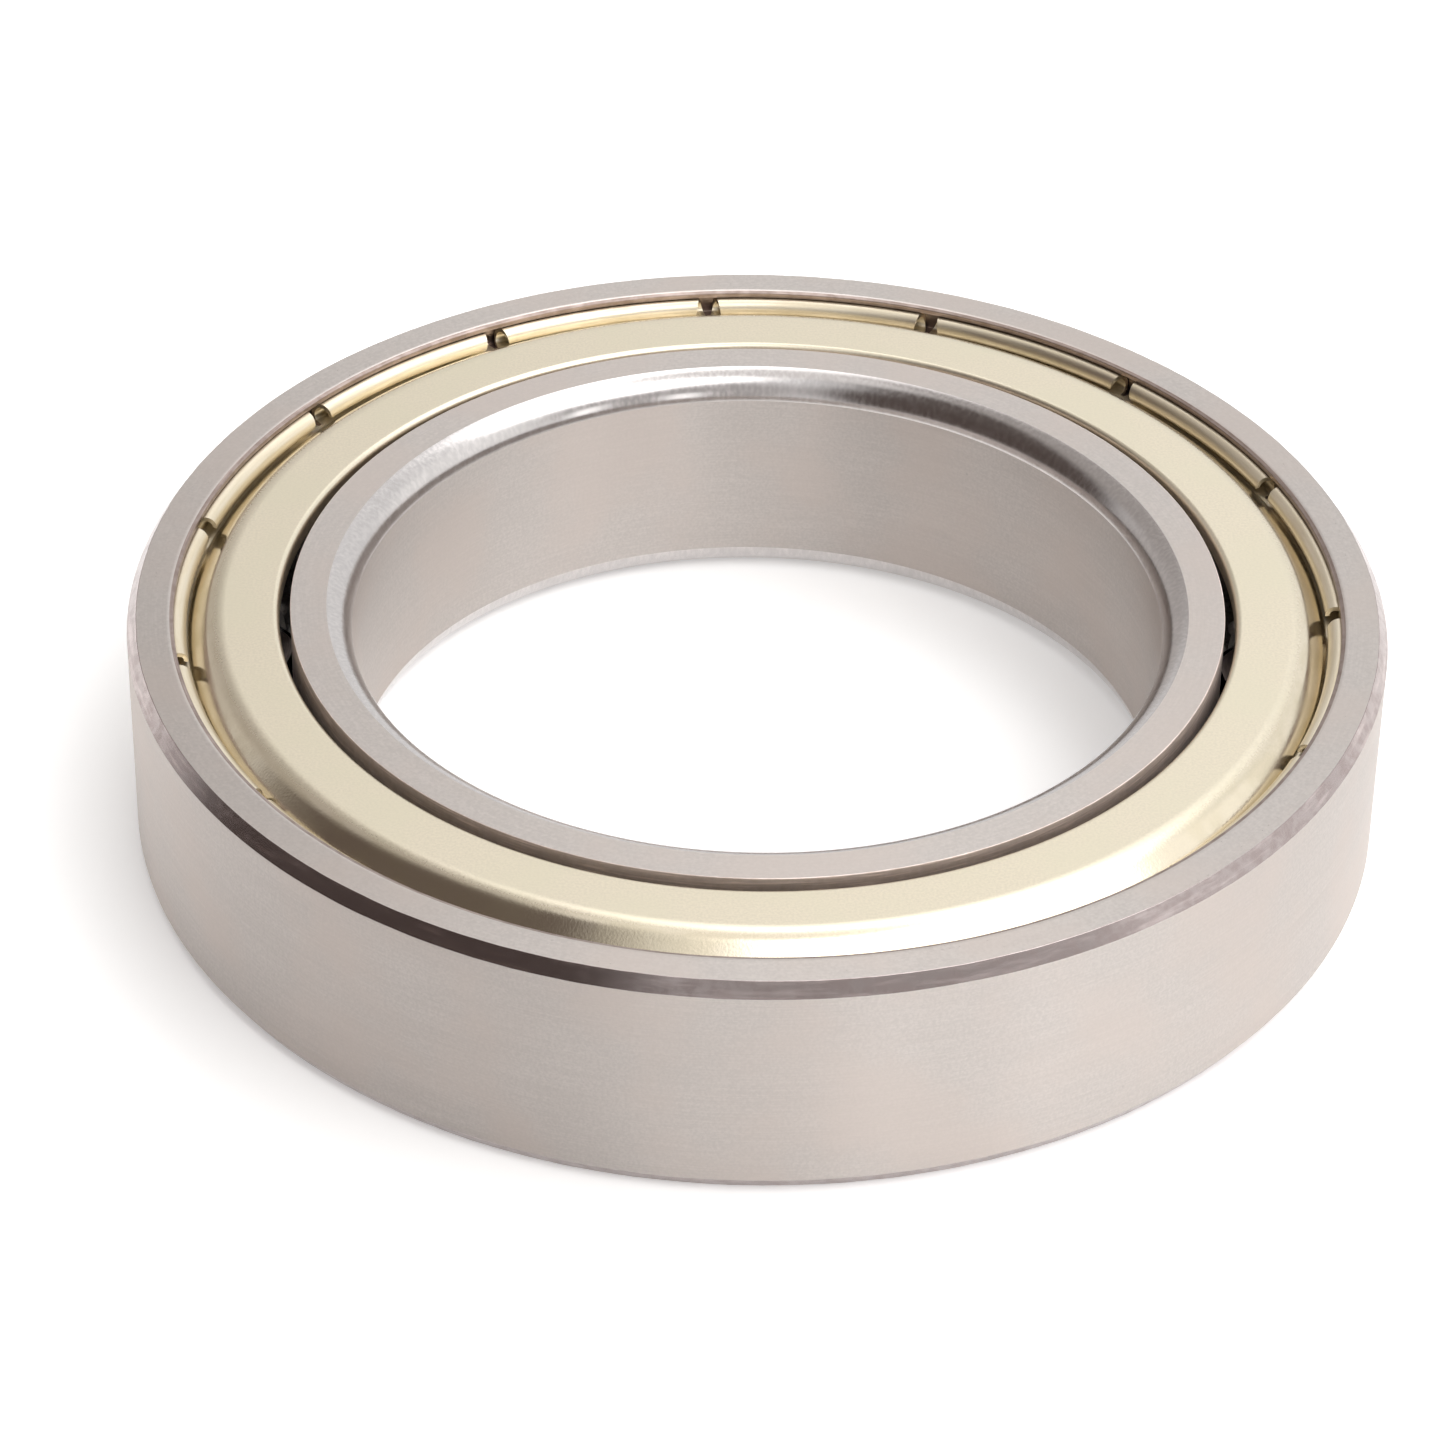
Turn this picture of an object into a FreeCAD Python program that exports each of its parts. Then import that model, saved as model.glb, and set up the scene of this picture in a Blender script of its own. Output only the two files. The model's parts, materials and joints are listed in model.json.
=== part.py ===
"""Deep groove ball bearing, 40 x 62 x 12 mm, with a pressed steel shield on each side.

The frame has its origin at the bearing's centre and +Z along the bore axis.
Two rings hold fourteen balls in a riveted ribbon cage. Lengths are in millimetres.
"""
import FreeCAD, Part
import math
import os
import Sketcher

Vector = FreeCAD.Vector
Rotation = FreeCAD.Rotation
Placement = FreeCAD.Placement

# Driving dimensions: alias, value, what it measures.
SIZES = [
    ("bore_radius", 20.0, "inner ring, bore"),
    ("outside_radius", 31.0, "outer ring, outside"),
    ("half_width", 6.0, "half the width of both rings"),
    ("bore_corner_radial", 1.22, "rounded bore corner, along the radius"),
    ("bore_corner_axial", 1.38, "rounded bore corner, along the axis"),
    ("bore_corner_curve", 1.6, "rounded bore corner, radius of its arc"),
    ("rim_corner_radial", 0.47, "outer corner chamfer, along the radius"),
    ("rim_corner_axial", 0.7, "outer corner chamfer, along the axis"),
    ("edge_break", 0.06, "inner ring, small bevel on the outer edges of the faces"),
    ("inner_land_radius", 23.0, "inner ring, shoulders beside the raceway"),
    ("outer_land_radius", 28.0, "outer ring, shoulders beside the raceway"),
    ("pitch_radius", 25.5, "circle of the ball centres"),
    ("ball_radius", 3.3735, "half of 17/64 inch"),
    ("ball_count", 14, "balls, and rivets between them"),
    ("ball_play", 0.012, "radial gap between a ball and each raceway"),
    ("groove_radius", 3.51, "raceway section, 52 % of the ball diameter"),
    ("seat_height", 4.52, "shield seat above the mid plane"),
    ("undercut_radius", 29.25, "outer ring, undercut that takes the shield's rim"),
    ("undercut_height", 5.5, "upper end of the undercut's wall above the mid plane"),
    ("lip_radius", 28.7, "outer ring, lip over the shield's rim"),
    ("lip_height", 5.66, "lower edge of the lip above the mid plane"),
    ("mouth_height", 5.92, "upper edge of the lip above the mid plane"),
    ("mouth_radius", 28.98, "outer ring, shallow bevel where it meets the face"),
    ("sheet_thickness", 0.22, "shield sheet"),
    ("collar_radius", 23.55, "shield, turned down inner collar"),
    ("collar_height", 4.95, "shield, free edge of the collar"),
    ("flat_height", 5.85, "shield, flat face above the mid plane"),
    ("shoulder_radius", 26.75, "shield, corner between the flat and the slope"),
    ("root_radius", 28.04, "shield, upper corner between the slope and the rolled rim"),
    ("bead_centre_radius", 28.65, "rolled rim, middle of its round section"),
    ("bead_radius", 0.55, "rolled rim, outside of its round section"),
    ("bead_curl", 105, "rolled rim, turn of the front leg from the crest in degrees"),
    ("collar_bend", 0.3, "shield, outside bend between collar and flat"),
    ("shoulder_bend", 1.45, "shield, outside bend between flat and slope"),
    ("root_bend", 0.24, "shield, inside bend between slope and rim"),
    ("notch_count", 15, "notches that split the rim into tabs"),
    ("notch_root_radius", 28.3, "notch, distance of its narrow end from the axis"),
    ("notch_root_half", 0.25, "notch, half its width at the narrow end"),
    ("notch_back_radius", 29.35, "notch, just outside the rim's back"),
    ("notch_back_half", 0.44, "notch, half its width there"),
    ("notch_tip_radius", 28.0, "notch, just inside the rim's leg"),
    ("notch_tip_half", 0.74, "notch, half its width there"),
    ("notch_split_height", 4.87, "notch, height of the tip of the rim's leg"),
    ("cage_thickness", 0.6, "cage ribbon"),
    ("cage_inner_radius", 24.0, "cage ribbon, inner edge"),
    ("cage_outer_radius", 27.0, "cage ribbon, outer edge"),
    ("pocket_radius", 3.46, "cage pocket, inside"),
    ("rivet_radius", 0.6, "rivet shank"),
    ("rivet_head_radius", 1.0, "rivet head"),
    ("rivet_head_height", 0.42, "rivet head"),
]

# Raceway sections: centre of the groove's arc, and half the groove's width at the land.
INNER_GROOVE_CENTRE = "(Sizes.pitch_radius - Sizes.ball_radius - Sizes.ball_play + Sizes.groove_radius)"
OUTER_GROOVE_CENTRE = "(Sizes.pitch_radius + Sizes.ball_radius + Sizes.ball_play - Sizes.groove_radius)"
INNER_GROOVE_HALF = "sqrt(Sizes.groove_radius^2 - (%s - Sizes.inner_land_radius)^2)" % INNER_GROOVE_CENTRE
OUTER_GROOVE_HALF = "sqrt(Sizes.groove_radius^2 - (Sizes.outer_land_radius - %s)^2)" % OUTER_GROOVE_CENTRE

# Radius of the sphere that a rivet head's dome is cut from.
RIVET_DOME = (
    "((Sizes.rivet_head_radius^2 + Sizes.rivet_head_height^2) / (2 * Sizes.rivet_head_height))"
)

ORIGIN_POINT = (-1, 1)
HORIZONTAL_AXIS = -1
VERTICAL_AXIS = -2
START, END = 1, 2


def make_sizes(doc):
    """The spreadsheet of driving dimensions, one alias per row."""
    sheet = doc.addObject("Spreadsheet::Sheet", "Sizes")
    for row, (alias, value, note) in enumerate(SIZES, start=1):
        sheet.set("A%d" % row, note)
        sheet.set("B%d" % row, str(value))
        sheet.setAlias("B%d" % row, alias)
    doc.recompute()
    return sheet


def origin_feature(body, role):
    return [item for item in body.Origin.OriginFeatures if item.Role == role][0]


def new_body(doc, label):
    body = doc.addObject("PartDesign::Body", label)
    body.Label = label
    return body


def new_sketch(body, name, plane="XZ_Plane"):
    """An empty sketch on one of the body's origin planes; on XZ its y runs along +Z."""
    sketch = body.newObject("Sketcher::SketchObject", name)
    sketch.AttachmentSupport = [(origin_feature(body, plane), "")]
    sketch.MapMode = "FlatFace"
    return sketch


def arc_between(start, end, radius):
    """The shorter arc from start to end, bulging to the left of travel if radius is positive."""
    chord = end - start
    left = Vector(-chord.y, chord.x, 0).normalize()
    side = math.copysign(1, radius)
    rise = math.sqrt(radius ** 2 - (chord.Length / 2) ** 2)
    centre = (start + end) * 0.5 - left * side * rise
    circle = Part.Circle(centre, Vector(0, 0, 1), abs(radius))
    first, last = (end, start) if side > 0 else (start, end)
    begin = math.atan2(first.y - centre.y, first.x - centre.x)
    finish = math.atan2(last.y - centre.y, last.x - centre.x)
    if finish < begin:
        finish += 2 * math.pi
    # The arc runs counter-clockwise, so travel is reversed when it bulges to the left.
    return Part.ArcOfCircle(circle, begin, finish), side > 0


def pin_down(sketch, geometry, point, axis_kind, expression):
    """Hold one coordinate of a point at an expression, or on the axis when that is 0."""
    if expression == "0":
        axis = VERTICAL_AXIS if axis_kind == "DistanceX" else HORIZONTAL_AXIS
        sketch.addConstraint(Sketcher.Constraint("PointOnObject", geometry, point, axis))
        return
    value = float(sketch.evalExpression(expression))
    constraint = Sketcher.Constraint(axis_kind, *ORIGIN_POINT, geometry, point, value)
    index = sketch.addConstraint(constraint)
    sketch.setExpression("Constraints[%d]" % index, expression)


def draw_outline(sketch, corners):
    """A closed outline through corners (x, y) or (x, y, arc), all of them expressions.

    arc is the radius of the edge that leaves the corner: positive where it bulges to
    the left of travel, negative to the right. Without it the edge is straight.
    """
    points = [Vector(*[float(sketch.evalExpression(text)) for text in corner[:2]], 0) for corner in corners]
    ends = []
    for index, corner in enumerate(corners):
        start = points[index]
        end = points[(index + 1) % len(points)]
        reverse = False
        if len(corner) == 3:
            arc, reverse = arc_between(start, end, float(sketch.evalExpression(corner[2])))
            geometry = sketch.addGeometry(arc, False)
        else:
            geometry = sketch.addGeometry(Part.LineSegment(start, end), False)
        ends.append((geometry, END, START) if reverse else (geometry, START, END))
    for index, corner in enumerate(corners):
        geometry, start, end = ends[index]
        following = ends[(index + 1) % len(ends)]
        sketch.addConstraint(Sketcher.Constraint("Coincident", geometry, end, following[0], following[1]))
        pin_down(sketch, geometry, start, "DistanceX", corner[0])
        pin_down(sketch, geometry, start, "DistanceY", corner[1])
        if len(corner) == 3:
            radius = abs(float(sketch.evalExpression(corner[2])))
            held = sketch.addConstraint(Sketcher.Constraint("Radius", geometry, radius))
            sketch.setExpression("Constraints[%d]" % held, corner[2].lstrip("-"))


def draw_circle(sketch, centre_x, centre_y, radius):
    """A circle whose centre and radius are expressions."""
    centre = Vector(*[float(sketch.evalExpression(text)) for text in (centre_x, centre_y)], 0)
    size = float(sketch.evalExpression(radius))
    geometry = sketch.addGeometry(Part.Circle(centre, Vector(0, 0, 1), size), False)
    if centre_x == centre_y == "0":
        sketch.addConstraint(Sketcher.Constraint("Coincident", geometry, 3, *ORIGIN_POINT))
    else:
        pin_down(sketch, geometry, 3, "DistanceX", centre_x)
        pin_down(sketch, geometry, 3, "DistanceY", centre_y)
    held = sketch.addConstraint(Sketcher.Constraint("Radius", geometry, size))
    sketch.setExpression("Constraints[%d]" % held, radius)


def revolve(body, kind, name, sketch, axis=None):
    """A full turn of a sketch about the body's Z axis, or about the sketch's own vertical axis."""
    feature = body.newObject("PartDesign::" + kind, name)
    feature.Profile = sketch
    feature.ReferenceAxis = axis or (origin_feature(body, "Z_Axis"), [""])
    feature.Angle = 360
    return feature


def cut_through(body, name, sketch):
    """A pocket through everything, both ways from its sketch."""
    pocket = body.newObject("PartDesign::Pocket", name)
    pocket.Profile = sketch
    pocket.SideType = "Symmetric"
    pocket.Type = "ThroughAll"
    return pocket


def repeat_around(body, name, originals, count):
    """A polar pattern of features about Z; count is an expression."""
    pattern = body.newObject("PartDesign::PolarPattern", name)
    pattern.Originals = originals
    pattern.Axis = (origin_feature(body, "Z_Axis"), [""])
    pattern.Angle = 360
    pattern.setExpression("Occurrences", count)
    body.Tip = pattern
    return pattern


def require_change(doc, body, before, grows):
    """Recompute, and stop if the last feature did not change the body's volume the right way."""
    doc.recompute()
    after = body.Shape.Volume
    if (after > before) != grows or abs(after - before) < 1e-6:
        raise RuntimeError("%s: the last feature changed nothing" % body.Label)
    return after


def make_inner_ring(doc):
    """Inner ring: large rounded bore corners, raceway groove on its outside."""
    body = new_body(doc, "inner_ring")
    section = new_sketch(body, "inner_ring_section")
    face_start = "Sizes.bore_radius + Sizes.bore_corner_radial"
    wall_end = "(Sizes.half_width - Sizes.bore_corner_axial)"
    land_edge = "Sizes.inner_land_radius - Sizes.edge_break"
    edge_height = "(Sizes.half_width - Sizes.edge_break)"
    draw_outline(section, [
        ("Sizes.bore_radius", "-" + wall_end),
        ("Sizes.bore_radius", wall_end, "Sizes.bore_corner_curve"),
        (face_start, "Sizes.half_width"),
        (land_edge, "Sizes.half_width"),
        ("Sizes.inner_land_radius", edge_height),
        ("Sizes.inner_land_radius", INNER_GROOVE_HALF, "-Sizes.groove_radius"),
        ("Sizes.inner_land_radius", "-" + INNER_GROOVE_HALF),
        ("Sizes.inner_land_radius", "-" + edge_height),
        (land_edge, "-Sizes.half_width"),
        (face_start, "-Sizes.half_width", "Sizes.bore_corner_curve"),
    ])
    revolve(body, "Revolution", "inner_ring_turning", section)
    return body


def make_outer_ring(doc):
    """Outer ring: chamfered outside, raceway groove, and a shield seat under a lip on each side."""
    body = new_body(doc, "outer_ring")
    section = new_sketch(body, "outer_ring_section")
    face_edge = "Sizes.outside_radius - Sizes.rim_corner_radial"
    wall_end = "(Sizes.half_width - Sizes.rim_corner_axial)"
    upper_inside = [
        ("Sizes.mouth_radius", "Sizes.half_width"),
        ("Sizes.lip_radius", "Sizes.mouth_height"),
        ("Sizes.lip_radius", "Sizes.lip_height"),
        ("Sizes.undercut_radius", "Sizes.undercut_height"),
        ("Sizes.undercut_radius", "Sizes.seat_height"),
        ("Sizes.outer_land_radius", "Sizes.seat_height"),
        ("Sizes.outer_land_radius", OUTER_GROOVE_HALF, "Sizes.groove_radius"),
    ]
    lower_inside = [(corner[0], "-" + corner[1]) for corner in reversed(upper_inside)]
    outside = [
        (face_edge, "-Sizes.half_width"),
        ("Sizes.outside_radius", "-" + wall_end),
        ("Sizes.outside_radius", wall_end),
        (face_edge, "Sizes.half_width"),
    ]
    draw_outline(section, upper_inside + lower_inside + outside)
    revolve(body, "Revolution", "outer_ring_turning", section)
    return body


def offset_polyline(points, distance):
    """The polyline shifted to the right of travel, with mitred corners."""
    runs = [(after - before).normalize() for before, after in zip(points, points[1:])]
    rights = [Vector(run.y, -run.x, 0) for run in runs]
    shifted = [points[0] + rights[0] * distance]
    for corner, before, after in zip(points[1:], rights, rights[1:]):
        shifted.append(corner + (before + after) * (distance / (1 + before.dot(after))))
    shifted.append(points[-1] + rights[-1] * distance)
    return shifted


def draw_sheet(sketch, corners, thickness):
    """The section of a bent sheet: its upper side through corners, its lower side parallel to that."""
    upper = [Vector(*[float(sketch.evalExpression(text)) for text in corner], 0) for corner in corners]
    lower = offset_polyline(upper, float(sketch.evalExpression(thickness)))
    upper_runs = [
        sketch.addGeometry(Part.LineSegment(start, end), False) for start, end in zip(upper, upper[1:])
    ]
    lower_runs = [
        sketch.addGeometry(Part.LineSegment(start, end), False) for start, end in zip(lower, lower[1:])
    ]
    inner_end = sketch.addGeometry(Part.LineSegment(lower[0], upper[0]), False)
    outer_end = sketch.addGeometry(Part.LineSegment(upper[-1], lower[-1]), False)
    for runs in (upper_runs, lower_runs):
        for before, after in zip(runs, runs[1:]):
            sketch.addConstraint(Sketcher.Constraint("Coincident", before, END, after, START))
    for first, first_point, second, second_point in (
        (inner_end, END, upper_runs[0], START),
        (inner_end, START, lower_runs[0], START),
        (outer_end, START, upper_runs[-1], END),
        (outer_end, END, lower_runs[-1], END),
    ):
        sketch.addConstraint(Sketcher.Constraint("Coincident", first, first_point, second, second_point))
    holders = [(run, START) for run in upper_runs] + [(upper_runs[-1], END)]
    for (geometry, point), corner in zip(holders, corners):
        pin_down(sketch, geometry, point, "DistanceX", corner[0])
        pin_down(sketch, geometry, point, "DistanceY", corner[1])
    gap = float(sketch.evalExpression(thickness))
    for above, below in zip(upper_runs, lower_runs):
        sketch.addConstraint(Sketcher.Constraint("Parallel", above, below))
        held = sketch.addConstraint(Sketcher.Constraint("Distance", above, START, below, gap))
        sketch.setExpression("Constraints[%d]" % held, thickness)
    sketch.addConstraint(Sketcher.Constraint("Perpendicular", inner_end, upper_runs[0]))
    sketch.addConstraint(Sketcher.Constraint("Perpendicular", outer_end, upper_runs[-1]))
    return upper, lower


def circle_edges(shape, corner):
    """Names of the circular edges about Z that pass through a section corner (radius, height)."""
    names = []
    for number, edge in enumerate(shape.Edges, start=1):
        if not isinstance(edge.Curve, Part.Circle):
            continue
        if abs(edge.Curve.Radius - corner.x) < 1e-4 and abs(edge.Curve.Center.z - corner.y) < 1e-4:
            names.append("Edge%d" % number)
    return names


def round_bend(doc, body, name, corner, radius):
    """Round the circular edge at one section corner; radius is an expression."""
    doc.recompute()
    base = body.Tip
    edges = circle_edges(base.Shape, corner)
    if not edges:
        raise RuntimeError("%s: no edge to round at %s" % (body.Label, corner))
    fillet = body.newObject("PartDesign::Fillet", name)
    fillet.Base = (base, edges)
    fillet.setExpression("Radius", radius)


def add_rolled_rim(body, label):
    """The rim from the end of the sheet: up round its back, over its crest and down in front."""
    centre = "Sizes.bead_centre_radius"
    height = "(Sizes.seat_height + Sizes.bead_radius)"
    outside = "Sizes.bead_radius"
    inside = "(Sizes.bead_radius - Sizes.sheet_thickness)"
    tip = "%s - {0} * sin(Sizes.bead_curl * 1deg)" % centre
    tip_height = "%s + {0} * cos(Sizes.bead_curl * 1deg)" % height
    section = new_sketch(body, label + "_rim_section")
    draw_outline(section, [
        (centre, "%s - %s" % (height, outside), "-" + outside),
        ("%s + %s" % (centre, outside), height, "-" + outside),
        (centre, "%s + %s" % (height, outside), "-" + outside),
        (tip.format(outside), tip_height.format(outside)),
        (tip.format(inside), tip_height.format(inside), inside),
        (centre, "%s + %s" % (height, inside), inside),
        ("%s + %s" % (centre, inside), height, inside),
        (centre, "%s - %s" % (height, inside)),
    ])
    return revolve(body, "Revolution", label + "_rolled_rim", section)


def cut_notch_part(body, name, near, far, upward):
    """A tapered pocket from the notch's split height, up or down, between two (radius, half width)."""
    outline = new_sketch(body, name + "_outline", "XY_Plane")
    outline.setExpression("AttachmentOffset.Base.z", "Sizes.notch_split_height")
    draw_outline(outline, [
        (near[0], "-" + near[1]),
        (far[0], "-" + far[1]),
        far,
        near,
    ])
    pocket = body.newObject("PartDesign::Pocket", name)
    pocket.Profile = outline
    pocket.Type = "ThroughAll"
    pocket.Reversed = upward
    return pocket


def make_shield(doc, label):
    """Pressed shield for the upper side: collar, flat, slope, and a rolled rim split into tabs."""
    body = new_body(doc, label)
    section = new_sketch(body, label + "_section")
    root_height = "(Sizes.seat_height + Sizes.sheet_thickness)"
    upper, lower = draw_sheet(section, [
        ("Sizes.collar_radius", "Sizes.collar_height"),
        ("Sizes.collar_radius", "Sizes.flat_height"),
        ("Sizes.shoulder_radius", "Sizes.flat_height"),
        ("Sizes.root_radius", root_height),
        ("Sizes.bead_centre_radius", root_height),
    ], "Sizes.sheet_thickness")
    revolve(body, "Revolution", label + "_pressing", section)
    thickness = "Sizes.sheet_thickness"
    bends = [
        ("collar", 1, "Sizes.collar_bend", "Sizes.collar_bend - " + thickness),
        ("shoulder", 2, "Sizes.shoulder_bend", "Sizes.shoulder_bend - " + thickness),
        ("root", 3, "Sizes.root_bend", "Sizes.root_bend + " + thickness),
    ]
    for name, index, above, below in bends:
        round_bend(doc, body, "%s_%s_above" % (label, name), upper[index], above)
        round_bend(doc, body, "%s_%s_below" % (label, name), lower[index], below)
    doc.recompute()
    volume = body.Shape.Volume
    add_rolled_rim(body, label)
    volume = require_change(doc, body, volume, grows=True)
    root = ("Sizes.notch_root_radius", "Sizes.notch_root_half")
    back = ("Sizes.notch_back_radius", "Sizes.notch_back_half")
    tip = ("Sizes.notch_tip_radius", "Sizes.notch_tip_half")
    parts = []
    for name, near, upward in (("below", root, False), ("above", tip, True)):
        parts.append(cut_notch_part(body, "%s_notch_%s" % (label, name), near, back, upward))
        volume = require_change(doc, body, volume, grows=False)
    repeat_around(body, label + "_notches", parts, "Sizes.notch_count")
    require_change(doc, body, volume, grows=False)
    return body


def make_cage_half(doc, label):
    """Upper half of the ribbon cage: a flat ring pressed into a cup over every ball."""
    body = new_body(doc, label)
    flat = new_sketch(body, label + "_ring", "XY_Plane")
    draw_circle(flat, "0", "0", "Sizes.cage_inner_radius")
    draw_circle(flat, "0", "0", "Sizes.cage_outer_radius")
    ring = body.newObject("PartDesign::Pad", label + "_strip")
    ring.Profile = flat
    ring.setExpression("Length", "Sizes.cage_thickness")
    doc.recompute()
    volume = body.Shape.Volume

    cups = []
    cup_radius = "Sizes.pocket_radius + Sizes.cage_thickness"
    for kind, name, radius in (
        ("Revolution", label + "_cup", cup_radius),
        ("Groove", label + "_pocket", "Sizes.pocket_radius"),
    ):
        quarter = new_sketch(body, name + "_section")
        quarter.setExpression("AttachmentOffset.Base.x", "Sizes.pitch_radius")
        draw_outline(quarter, [
            ("0", "0"),
            ("0", radius, radius),
            (radius, "0"),
        ])
        cups.append(revolve(body, kind, name, quarter, (quarter, ["V_Axis"])))
        volume = require_change(doc, body, volume, grows=(kind == "Revolution"))
    repeat_around(body, label + "_cups", cups, "Sizes.ball_count")
    doc.recompute()
    volume = body.Shape.Volume

    trims = (
        ("inside", ["Sizes.cage_inner_radius"]),
        ("outside", ["Sizes.cage_outer_radius", "Sizes.outside_radius"]),
    )
    for name, radii in trims:
        outline = new_sketch(body, "%s_%s_outline" % (label, name), "XY_Plane")
        for radius in radii:
            draw_circle(outline, "0", "0", radius)
        cut_through(body, "%s_%s" % (label, name), outline)
        volume = require_change(doc, body, volume, grows=False)

    hole = new_sketch(body, label + "_rivet_hole_outline", "XY_Plane")
    half_pitch = "(180deg / Sizes.ball_count)"
    draw_circle(
        hole,
        "Sizes.pitch_radius * cos(%s)" % half_pitch,
        "Sizes.pitch_radius * sin(%s)" % half_pitch,
        "Sizes.rivet_radius",
    )
    first = cut_through(body, label + "_rivet_hole", hole)
    volume = require_change(doc, body, volume, grows=False)
    repeat_around(body, label + "_rivet_holes", [first], "Sizes.ball_count")
    require_change(doc, body, volume, grows=False)
    return body


def make_rivets(doc):
    """One rivet between each two balls, with a domed head on each side of the cage."""
    body = new_body(doc, "cage_rivets")
    body.AllowCompound = True
    section = new_sketch(body, "cage_rivet_section")
    section.setExpression("AttachmentOffset.Base.x", "Sizes.pitch_radius")
    top = "(Sizes.cage_thickness + Sizes.rivet_head_height)"
    draw_outline(section, [
        ("0", "-" + top, "-" + RIVET_DOME),
        ("Sizes.rivet_head_radius", "-Sizes.cage_thickness"),
        ("Sizes.rivet_radius", "-Sizes.cage_thickness"),
        ("Sizes.rivet_radius", "Sizes.cage_thickness"),
        ("Sizes.rivet_head_radius", "Sizes.cage_thickness", "-" + RIVET_DOME),
        ("0", top),
    ])
    rivet = revolve(body, "Revolution", "cage_rivet", section, (section, ["V_Axis"]))
    doc.recompute()
    repeat_around(body, "cage_rivet_ring", [rivet], "Sizes.ball_count")
    body.setExpression("Placement.Rotation.Angle", "180deg / Sizes.ball_count")
    return body


def make_ball(doc, number):
    """One ball on the pitch circle; ball 1 lies on +X."""
    label = "ball_%02d" % number
    ball = doc.addObject("Part::Sphere", label)
    ball.Label = label
    ball.setExpression("Radius", "Sizes.ball_radius")
    angle = "(360deg * %d / Sizes.ball_count)" % (number - 1)
    ball.setExpression("Placement.Base.x", "Sizes.pitch_radius * cos(%s)" % angle)
    ball.setExpression("Placement.Base.y", "Sizes.pitch_radius * sin(%s)" % angle)
    return ball


def turn_over(body):
    """Turn a piece made for the upper side about X, so that it fits the lower side."""
    body.Placement = Placement(Vector(0, 0, 0), Rotation(Vector(1, 0, 0), 180))
    return body


def check(doc, pieces):
    """Stop unless every object computed and every piece is one valid closed shape."""
    for item in doc.Objects:
        if set(item.State) & {"Invalid", "Error"}:
            raise RuntimeError("%s is %s" % (item.Label, item.State))
    for piece in pieces:
        shape = piece.Shape
        if shape.isNull() or not shape.isValid() or not shape.Solids:
            raise RuntimeError("%s has no valid solid" % piece.Label)
        print("%-16s %2d solid(s) %10.3f mm3" % (piece.Label, len(shape.Solids), shape.Volume))


def main():
    doc = FreeCAD.newDocument("ball_bearing")
    sizes = make_sizes(doc)
    pieces = [
        make_outer_ring(doc),
        make_inner_ring(doc),
        make_shield(doc, "shield_top"),
        turn_over(make_shield(doc, "shield_bottom")),
        make_cage_half(doc, "cage_upper"),
        turn_over(make_cage_half(doc, "cage_lower")),
        make_rivets(doc),
    ]
    pieces += [make_ball(doc, number) for number in range(1, int(sizes.ball_count) + 1)]
    doc.recompute()
    check(doc, pieces)
    os.makedirs("parts", exist_ok=True)
    for piece in pieces:
        piece.Shape.exportStep("parts/%s.step" % piece.Label)


main()
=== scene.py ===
"""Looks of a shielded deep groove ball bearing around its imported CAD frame.

The rings and shields are turned and pressed here as fine meshes on the frame's own sizes.
Balls, cage and rivets stay CAD nodes and get a finish. Section sizes are in millimetres.
"""

import json
import math

import bpy
from mathutils import Matrix, Vector, noise


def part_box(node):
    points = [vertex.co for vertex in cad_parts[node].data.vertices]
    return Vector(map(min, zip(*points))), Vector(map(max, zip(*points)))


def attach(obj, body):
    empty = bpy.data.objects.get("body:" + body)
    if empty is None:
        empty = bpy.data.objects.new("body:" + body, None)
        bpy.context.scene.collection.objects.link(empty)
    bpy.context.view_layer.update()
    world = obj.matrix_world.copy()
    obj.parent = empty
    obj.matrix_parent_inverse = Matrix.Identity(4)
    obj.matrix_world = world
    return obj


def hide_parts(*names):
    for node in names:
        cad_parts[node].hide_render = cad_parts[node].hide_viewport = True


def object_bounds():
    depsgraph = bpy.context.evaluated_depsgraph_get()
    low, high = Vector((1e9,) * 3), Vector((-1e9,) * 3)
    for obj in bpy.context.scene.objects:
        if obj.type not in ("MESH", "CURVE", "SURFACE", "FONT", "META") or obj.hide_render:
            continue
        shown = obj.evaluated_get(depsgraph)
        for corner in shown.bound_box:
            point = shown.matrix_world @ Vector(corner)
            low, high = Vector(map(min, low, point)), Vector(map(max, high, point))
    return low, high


MM = 0.001

# Sizes that the frame holds.
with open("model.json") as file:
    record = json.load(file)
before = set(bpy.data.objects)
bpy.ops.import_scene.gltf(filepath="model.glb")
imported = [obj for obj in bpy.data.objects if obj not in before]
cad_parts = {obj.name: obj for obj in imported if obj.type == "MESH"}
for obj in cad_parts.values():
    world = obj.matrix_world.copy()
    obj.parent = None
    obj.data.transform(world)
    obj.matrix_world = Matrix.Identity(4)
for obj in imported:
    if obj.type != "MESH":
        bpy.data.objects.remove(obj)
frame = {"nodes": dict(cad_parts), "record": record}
cad_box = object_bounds()
MOUNTS = {mount["name"]: mount for mount in frame["record"]["mounts"]}
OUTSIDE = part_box("outer_ring")[1].x / MM
HALF_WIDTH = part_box("outer_ring")[1].z / MM
BORE = MOUNTS["bore"]["dims"]["r_mm"]
INNER_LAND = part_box("inner_ring")[1].x / MM

# Rings.
OUTER_LAND = 28.0
GROOVE_RADIUS = 3.51
INNER_GROOVE_CENTRE = 25.6245
OUTER_GROOVE_CENTRE = 25.3755
BORE_CORNER = (1.22, 1.38)
BORE_CORNER_CURVE = 1.6
RIM_CORNER = (0.47, 0.7)
EDGE_ROUND = 0.04
MOUTH = (28.98, 5.92)
MOUTH_ROUND = 0.6
LIP = 28.7
LIP_HEIGHT = 5.66
UNDERCUT = (29.25, 5.5)
SEAT = 4.52
RING_STEPS = 480

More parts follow.
